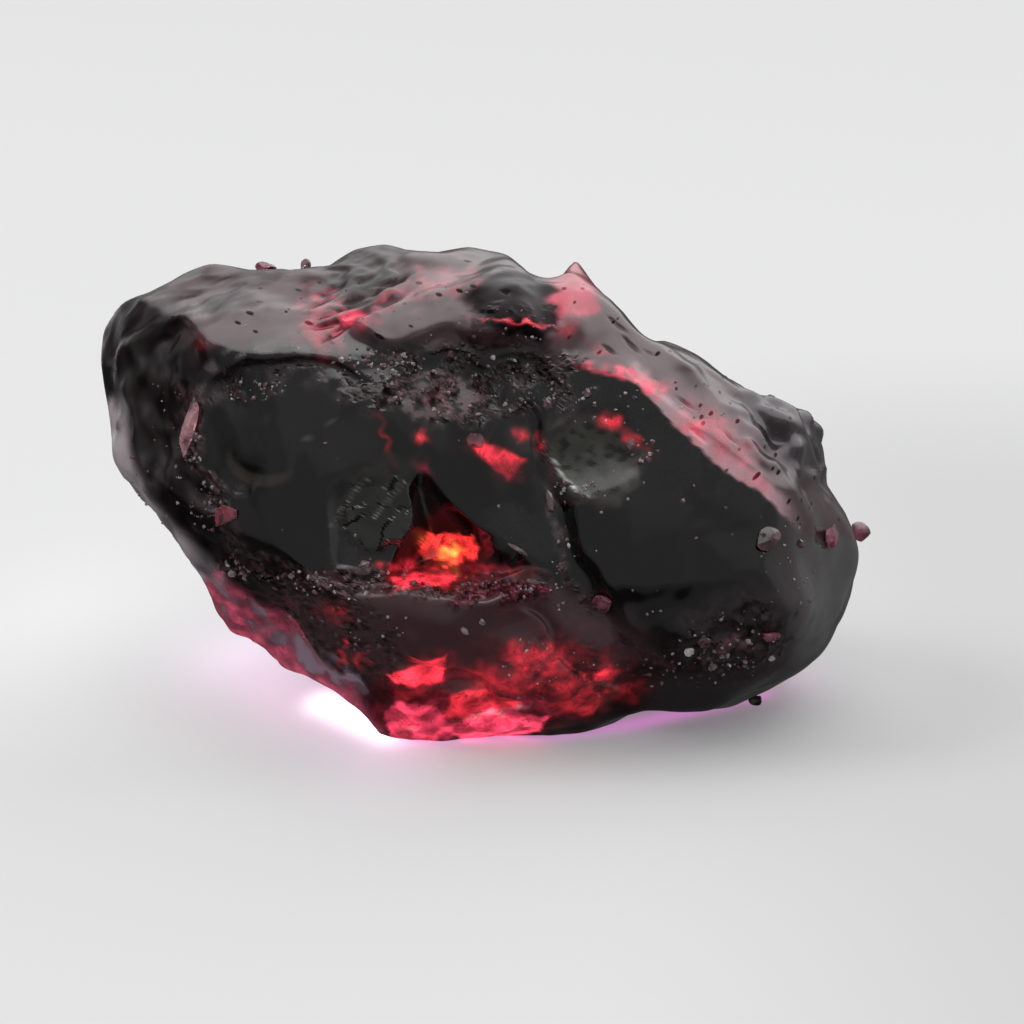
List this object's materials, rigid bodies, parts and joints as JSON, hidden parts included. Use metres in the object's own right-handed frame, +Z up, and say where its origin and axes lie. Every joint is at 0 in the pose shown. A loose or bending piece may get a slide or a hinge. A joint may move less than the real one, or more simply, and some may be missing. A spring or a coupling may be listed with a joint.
{
  "type": "rough ruby",
  "caption": "Irregular broken lump of dark red see-through crystal with rounded faces, ledges and a three-cornered hollow, small chips clinging to it and a level base to rest on.",
  "frame": {"origin": "on the level base, below the middle of the stone's outline", "axes": "+X along the stone's length towards its smooth rounded end, +Z up from the level base, -Y the side with the three-cornered hollow"},
  "size_m": [0.0614, 0.0396, 0.0361],
  "materials": {
    "ruby": "wet-looking gloss, nearly black red in the mass and red where it is thin",
    "ruby_chips": "broken, pale pink, see-through"
  },
  "bodies": {
    "root": {"ruby": "ruby", "chip_01": "ruby_chips", "chip_02": "ruby_chips", "chip_03": "ruby_chips", "chip_04": "ruby_chips", "chip_05": "ruby_chips", "chip_06": "ruby_chips", "chip_07": "ruby_chips", "chip_08": "ruby_chips", "chip_09": "ruby_chips", "chip_10": "ruby_chips", "chip_11": "ruby_chips", "chip_12": "ruby_chips", "chip_13": "ruby_chips", "chip_14": "ruby_chips", "chip_15": "ruby_chips"}
  },
  "joints": []
}
